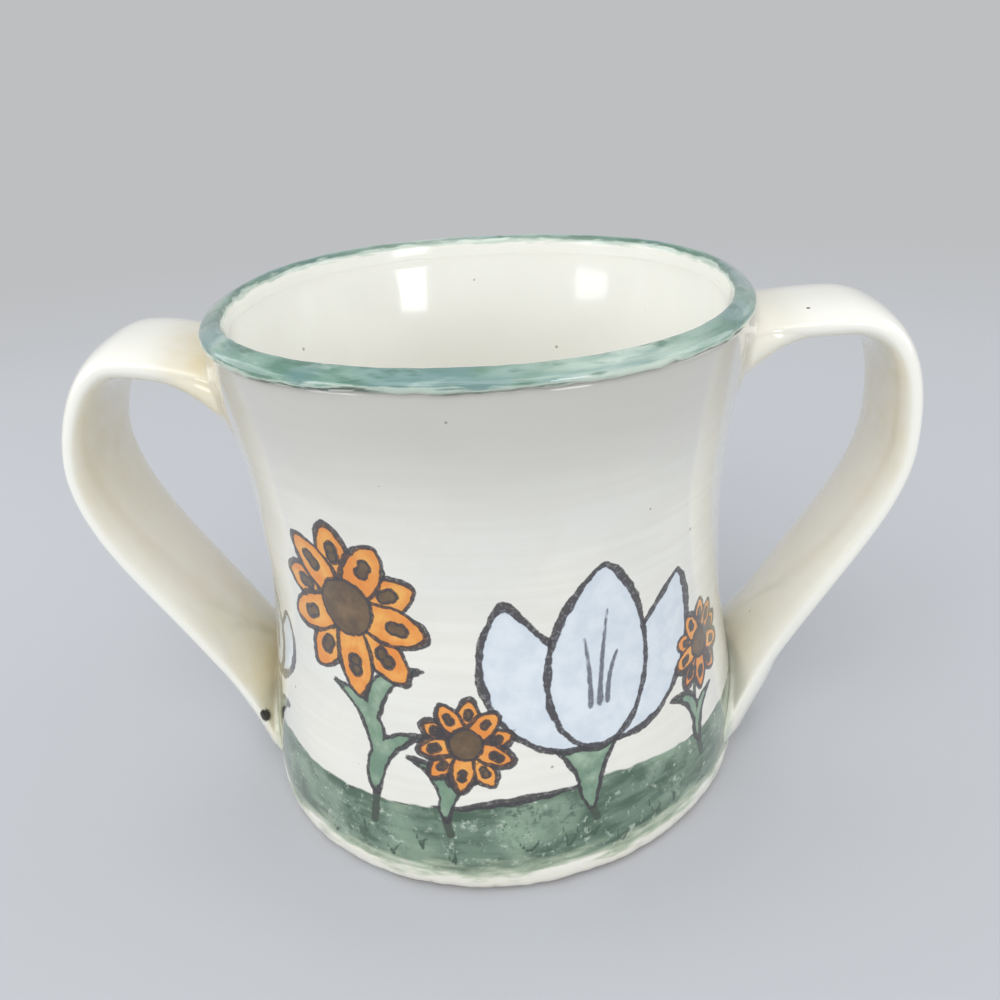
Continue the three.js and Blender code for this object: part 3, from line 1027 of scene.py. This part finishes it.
def foot_outline():
    """The slab's section: flat below, a soft edge, and a hidden shoulder inside the wall."""
    top_radius = float(outer_curve(slab_top))
    proud = slab_radius - top_radius
    under = [(share * (top_radius - 2.2 * mm), 0) for share in np.linspace(0, 1, 16)]
    edge = [(-1.7, 0.03), (-1.25, 0.16), (-0.85, 0.4), (-0.5, 0.75), (-0.25, 1.2)]
    soft = [(top_radius + across * mm + proud * 0.5, up * mm) for across, up in edge]
    side = [(top_radius + proud * 0.85, 1.8 * mm), (top_radius + proud * 0.9, 2.6 * mm),
            (top_radius + proud * 0.6, 3.5 * mm), (top_radius + 0.02 * mm, slab_top)]
    hidden = [(top_radius - 0.3 * mm, slab_top + 0.5 * mm), (top_radius - 1.0 * mm, slab_top + 0.8 * mm),
              (top_radius - 2.0 * mm, slab_top + 0.6 * mm), (top_radius - 2.8 * mm, slab_top)]
    top = [(share * (top_radius - 3.4 * mm), slab_top) for share in np.linspace(1, 0, 12)]
    return under + soft + side + hidden + top


def lump_foot(places):
    """Small knocks along the lower edge."""
    turn = np.arctan2(places[:, 1], places[:, 0])
    outer = ease((np.hypot(places[:, 0], places[:, 1]) - slab_radius + 4 * mm) / (3 * mm))
    low = ease(1 - places[:, 2] / slab_top)
    places[:, :2] *= (1 - outer * low * np.abs(ragged(turn, 41, 0.0022)))[:, None]
    places[:, 2] += outer * low * np.abs(ragged(turn, 42, 0.09 * mm))
    return places


foot = run_tree("foot", turning, outline_mesh(foot_outline()), steps_round=steps_round,
                finish=foot_glaze)
move_to(foot, hand_made(lump_foot(places_of(foot))))
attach(foot, "root")
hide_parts("foot_slab")
print("foot:", 2 * len(foot.data.polygons), "triangles")

# %% [markdown]
# ## Bending the straps
#
# A handle is a flat strap pulled from wet clay and bent in one sweep: out of the wall under the lip, over
# the shoulder, and down in a long run to the foot. A second Geometry Nodes tree lays a soft-cornered
# section along a line. Each point of the line carries the section's half width and its thickness on the
# outer and the inner side, so the strap can thin and spread where it meets the wall.

# %% A tree that bends a strap
def bent_strap():
    sizes = [("Steps Round", "Int"), ("Squareness", "Float"), ("Finish", "Material")]
    recipe, tree = new_tree("bent_strap", sizes)
    start = recipe.add("NodeGroupInput").outputs
    line = start["Geometry"]
    grid, row, angle = wrapping_grid(recipe, start)
    power = recipe.math("DIVIDE", 2.0, start["Squareness"])

    def squared(value):
        """A sine or cosine drawn towards the corners, so that a circle becomes a soft-cornered bar."""
        size = recipe.math("POWER", recipe.math("ABSOLUTE", value), power)
        return recipe.times(recipe.math("SIGN", value), size)

    def held(name, kind="FLOAT"):
        field = recipe.add("GeometryNodeInputNamedAttribute", {"Name": name}, data_type=kind).outputs[0]
        return from_outline(recipe, line, field, row, kind)

    centre = from_outline(recipe, line, recipe.add("GeometryNodeInputPosition").outputs[0], row)
    x, _, z = recipe.parts(centre)
    heading_x, _, heading_z = recipe.parts(held("heading", "FLOAT_VECTOR"))
    sine = squared(recipe.math("SINE", angle))
    is_outer = recipe.math("GREATER_THAN", sine, 0.0)
    thick = recipe.lerp(is_outer, held("inner_side"), held("outer_side"))
    lift = recipe.times(sine, thick)
    side = recipe.times(squared(recipe.math("COSINE", angle)), held("half_width"))
    place = recipe.vector(recipe.math("SUBTRACT", x, recipe.times(heading_z, lift)), side,
                          recipe.plus(z, recipe.times(heading_x, lift)))
    close_and_colour(recipe, grid, place, start["Finish"])
    return tree


bending = bent_strap()
print("the bending tree has", len(bending.nodes), "nodes")

# %% [markdown]
# ## The line of each strap
#
# Three curves joined end to end make the line: the root that leaves the wall, the shoulder, and the long
# run down. The two handles were made by eye, so they aren't a pair: the left one is wider and starts lower.

# %% Sizes of the two handles, in millimetres
handles = {
    "left": dict(turn=math.pi + 0.035, width=25.4, thickness=6.2, finger_room=21.6,
                 root_drop=12, crown_drop=7.5, crown_out=13.8, bend_drop=26.8, tail_height=6,
                 shoulder=0.55, bend=0.35, run=0.3, tail=0.42, tail_slope=1.3,
                 web=7.5, flare=1.2, extra=1.1, heel=0.5, toe=0.5),
    "right": dict(turn=-0.035, width=21.5, thickness=5.9, finger_room=22.8,
                  root_drop=8, crown_drop=6.5, crown_out=13.8, bend_drop=27.3, tail_height=5.3,
                  shoulder=0.82, bend=0.47, run=0.28, tail=0.5, tail_slope=1.23,
                  web=6.4, flare=3.6, extra=0.5, heel=1.5, toe=1.3),
}
strap_squareness = 2.3
strap_sink = 4.0
neck_radius = float(outer_curve(wall_top)) / mm


def bezier(start, first, second, end, steps=80):
    share = np.linspace(0, 1, steps)[:, None]
    points = [np.array(point, float) for point in (start, first, second, end)]
    rest = 1 - share
    return (points[0] * rest ** 3 + points[1] * 3 * share * rest ** 2
            + points[2] * 3 * share ** 2 * rest + points[3] * share ** 3)


def strap_line(h):
    """Points of a strap's centre line as radius and height, from the wall under the lip to the foot."""
    top = mug_height / mm
    root_height = top - h["root_drop"]
    start = (outer_curve(root_height * mm) / mm - strap_sink, root_height)
    crown = (neck_radius + h["crown_out"], top - h["crown_drop"])
    bend = (neck_radius + h["finger_room"] + h["thickness"] / 2, top - h["bend_drop"])
    tail = (outer_curve(h["tail_height"] * mm) / mm - h["thickness"] / 3, h["tail_height"])
    run = crown[0] - start[0]
    fall = bend[1] - tail[1]
    reach = h["tail"] * fall
    halfway = (start[1] + crown[1]) / 2
    root = bezier(start, (start[0] + run / 3, halfway), (crown[0] - run / 3, crown[1]), crown)
    shoulder = bezier(crown, (crown[0] + h["shoulder"] * (bend[0] - crown[0]), crown[1]),
                      (bend[0], bend[1] + h["bend"] * (crown[1] - bend[1])), bend)
    slope = h["tail_slope"]
    down = bezier(bend, (bend[0], bend[1] - h["run"] * fall),
                  (tail[0] + reach * math.cos(slope), tail[1] + reach * math.sin(slope)), tail)
    return np.concatenate([root, shoulder[1:], down[1:]])

# %% Skeleton of a strap
root_steps = 90
root_stretch = 16.0
run_steps = 210


def evenly(points, lengths):
    """Points of a line at the given lengths along it."""
    steps = np.hypot(*np.diff(points, axis=0).T)
    along = np.concatenate([[0], np.cumsum(steps)])
    return np.stack([np.interp(lengths, along, points[:, axis]) for axis in (0, 1)], 1), along[-1]


def strap_skeleton(h, seed):
    line = strap_line(h)
    total = evenly(line, [0])[1]
    lengths = np.concatenate([np.linspace(0, root_stretch, root_steps),
                              np.linspace(root_stretch, total, run_steps)[1:]])
    points, _ = evenly(line, lengths)
    heading = np.gradient(points, lengths, axis=0)
    heading /= np.hypot(*heading.T)[:, None]
    wave = np.random.default_rng(seed).uniform(0, math.tau, 4)
    along = lengths / total
    uneven = 0.010 * np.sin(9 * along + wave[0]) + 0.006 * np.sin(21 * along + wave[1])
    half_width = h["width"] / 2 * (1 + uneven)
    outer = h["thickness"] / 2 - 0.2 + h["heel"] * ease((along - 0.45) / 0.45)
    outer += h["toe"] * ease((along - 0.84) / 0.08)
    rippled = 1 + 0.03 * np.sin(13 * along + wave[2])
    inner = h["thickness"] / 2 * rippled + h["extra"] * ease(1 - lengths / 34)
    closed = np.concatenate([[0], np.arange(len(points)), [len(points) - 1]])
    size = np.ones(len(closed))
    size[[0, -1]] = 0
    mesh = outline_mesh(points[closed] * mm)
    facing = mesh.attributes.new("heading", "FLOAT_VECTOR", "POINT")
    facing.data.foreach_set("vector", np.insert(heading[closed], 1, 0, axis=1).astype(np.float32).ravel())
    for name, values in (("half_width", half_width), ("outer_side", outer), ("inner_side", inner)):
        field = mesh.attributes.new(name, "FLOAT", "POINT")
        field.data.foreach_set("value", (values[closed] * size * mm).astype(np.float32))
    return mesh

# %% [markdown]
# ## Working the ends into the wall
#
# The potter scores both faces, wets them, presses the strap on and draws its edge out over the wall with a
# finger. In the model every point close to the wall slides outwards along the wall's face, the more the
# closer it is. That leaves a hollow corner, and a thin feathered skirt that ends on the wall in a low
# ridge. Points slide less far upwards, which keeps the skirt clear of the lip. At the lower root they slide
# less far down too, and stop short of the table.

# %% Smearing the roots
lip_room = 0.3
table_room = 0.4 * mm
deepest = -1.3 * mm
corner_spread, corner_reach = 2.4 * mm, 6 * mm
skirt_spread, skirt_reach = 2.4 * mm, 1.1 * mm


def wall_facing(places):
    """The direction that the wall's outer face looks at the height and angle of each point."""
    rise = 0.5 * mm
    height = np.clip(places[:, 2], slab_top + rise, wall_top - rise)
    slope = (outer_curve(height + rise) - outer_curve(height - rise)) / (2 * rise)
    x = places[:, 0] - shift_at(places[:, 2])
    radius = np.hypot(x, places[:, 1])
    facing = np.stack([x / radius, places[:, 1] / radius, -slope], 1)
    return facing / np.linalg.norm(facing, axis=1)[:, None]


def smear_roots(piece, h):
    """Draws the strap's ends out over the wall: more under the upper root and beside the lower one."""
    places = places_of(piece)
    normals = np.array([vertex.normal for vertex in piece.data.vertices])
    gap = outside_wall(places)
    facing = wall_facing(places)
    outward = normals - np.sum(normals * facing, 1)[:, None] * facing
    is_low = places[:, 2] < mug_height / 2
    down = np.clip(-outward[:, 2], 0, 1) * ~is_low
    side = np.abs(outward[:, 1]) * is_low
    middle = 1 - np.clip(np.abs(places[:, 1]) / (h["width"] / 2 * mm), 0, 1) ** 2
    close = np.clip(1 - gap / (corner_reach + (5 * down + 7 * side) * mm), 0, 1)
    width = corner_spread + (h["web"] * mm - corner_spread) * down + h["flare"] * mm * side
    corner = width * close ** 2.2
    touching = np.clip(1 - gap / skirt_reach, 0, 1)
    skirt = (skirt_spread + 2.5 * mm * down * middle) * touching ** 1.5
    turn = np.arctan2(places[:, 1], places[:, 0])
    spread = corner + skirt * (1 + ragged(places[:, 2] / (9 * mm) + 3 * turn, 31, 0.1))
    outward[:, 2] *= np.where((outward[:, 2] > 0) | is_low, lip_room, 1)
    places = places + outward * spread[:, None]
    places[:, 2] = np.maximum(places[:, 2], table_room)
    # Near the wall each point goes back to the distance that it had, or to deepest if it lay deeper.
    settled = np.where(gap < corner_reach, outside_wall(places) - np.maximum(gap, deepest), 0)
    fading = ease((corner_reach - gap) / (corner_reach / 2))
    places = places - wall_facing(places) * (settled * fading)[:, None]
    move_to(piece, places)
    remember(piece, "gap", outside_wall(places) / mm)
    print(piece.name, "spreads by", round(float(spread.max()) / mm, 1), "mm at the wall")

# %% [markdown]
# ## The straps' finish
#
# Along the inner face and in the corners the straps turn yellow and darker, more so at the left strap:
# partly glaze that lies thicker there, and partly painted shade. The straps are also a lighter cream than
# the wall, which is painted light. The left one has a dark iron spot near its lower end and a small speck
# higher up, and the right one has a small speck on the shoulder. Where an end is worked in, its thin edge
# takes on the wall's own cream, or a wash of the green.

# %% Handle finish
iron_spots = [((-44.6, -16.2, 12.9), 1.5), ((52.2, -8.8, 85.5), 0.24), ((-66, -4, 74), 0.3)]


def handle_colour(recipe, place):
    across, _, height = recipe.parts(place)
    # Painted light: the straps are mostly the lighter cream, lighter than the wall.
    colour = recipe.blend(0.8, cream_ground(recipe, place, 0.7, 5), cream_painted_light)
    # Pooled glaze and painted shade: yellower and darker close to the wall, where the strap meets it.
    gap = recipe.attribute("gap")
    uneven = recipe.step(recipe.noise(place, 5, 22, 3), 0.25, 0.75, 0.5, 1.0)
    high_up = recipe.step(height, 20, 60)
    reach = recipe.step(recipe.math("DIVIDE", gap, recipe.plus(6.0, recipe.times(high_up, 6.0))), 1.0, 0.05)
    stronger_on_left = recipe.step(across, 20, -20, 0.35, 1.0)
    corner_pool_and_shade = recipe.times(reach, uneven, recipe.lerp(high_up, 0.3, 0.7), stronger_on_left)
    colour = recipe.blend(corner_pool_and_shade, colour, pooled_glaze_and_shade)
    # Painted shade: the inner face, which looks in at the cup, is yellower and darker near the bend and the
    # lower end.
    inner_face_shade = recipe.step(recipe.attribute("inner_face"), 0.1, 0.9)
    bend = recipe.step(height, 42, 72, 0.1, 0.42)
    low_end = recipe.times(recipe.step(height, 42, 20, 0.1, 0.5), stronger_on_left)
    inner = recipe.times(inner_face_shade, recipe.math("MAXIMUM", bend, low_end), uneven)
    colour = recipe.blend(inner, colour, pooled_glaze_and_shade)
    worked_in = recipe.times(recipe.step(gap, 1.7, 0.2), recipe.step(height, 50, 70, 0.3, 0.8))
    beside = recipe.blend(recipe.times(stronger_on_left, 0.3), cup_ground(recipe, place), pooled_glaze_and_shade)
    colour = recipe.blend(worked_in, colour, beside)
    wash = recipe.times(recipe.step(gap, 1.4, 0.2), recipe.step(height, 17, 10), uneven, 0.6)
    colour = recipe.blend(wash, colour, paint(160, 182, 158))
    colour = speckled(recipe, place, colour, 0.5, 8, 0.35, 0.3, 23)
    wander = recipe.step(recipe.noise(place, 1.1, 27, 2), 0.2, 0.8, -0.3, 0.3)
    for centre, size in iron_spots:
        away = recipe.plus(recipe.vector_math("DISTANCE", place, centre)["Value"], wander)
        colour = recipe.blend(recipe.step(away, size * 1.1, size * 0.75), colour, paint(52, 48, 44))
    return colour, 0.0, 0.0


handle_glaze = fired("handle_glaze", handle_colour)

# %% Handles
def make_handle(side, h):
    piece = run_tree(side + "_handle", bending, strap_skeleton(h, len(side)), steps_round=128,
                     squareness=strap_squareness, finish=handle_glaze)
    remember(piece, "inner_face", [-vertex.normal[0] for vertex in piece.data.vertices])
    piece.data.transform(Matrix.Rotation(h["turn"], 4, "Z"))
    smear_roots(piece, h)
    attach(piece, "root")
    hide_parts("handle_" + side, "upper_joint_" + side, "lower_joint_" + side)
    return piece


straps = [make_handle(side, sizes) for side, sizes in handles.items()]

# %% [markdown]
# ## Pooled glaze and painted shade on the wall beside the straps
#
# The yellow of the corners, partly pooled glaze and partly painted shade, runs a few millimetres onto the
# wall too. The nearest distance from each point of the wall to a strap says where.

# %% Pools and painted shade beside the roots
pool_reach = 5 * mm
pool_right = 0.4
near_straps = 30 * mm


def find_pools_and_shade(piece):
    places = places_of(piece)
    outside = on_outer_face(places)
    closeness = np.zeros(len(places))
    for strap in straps:
        corners = [vertex.co for vertex in strap.data.vertices]
        tree = BVHTree.FromPolygons(corners, [face.vertices for face in strap.data.polygons])
        towards = np.sign(corners[0].x)
        for number in np.nonzero(outside & (places[:, 0] * towards > near_straps))[0]:
            hit = tree.find_nearest(Vector(places[number]), pool_reach)
            if hit[0] is not None:
                closeness[number] = max(closeness[number], 1 - hit[3] / pool_reach)
    remember(piece, "pool", ease(closeness) * np.where(places[:, 0] > 0, pool_right, 1.0))
    print("pools touch", int((closeness > 0).sum()), "points of the wall")


find_pools_and_shade(wall)
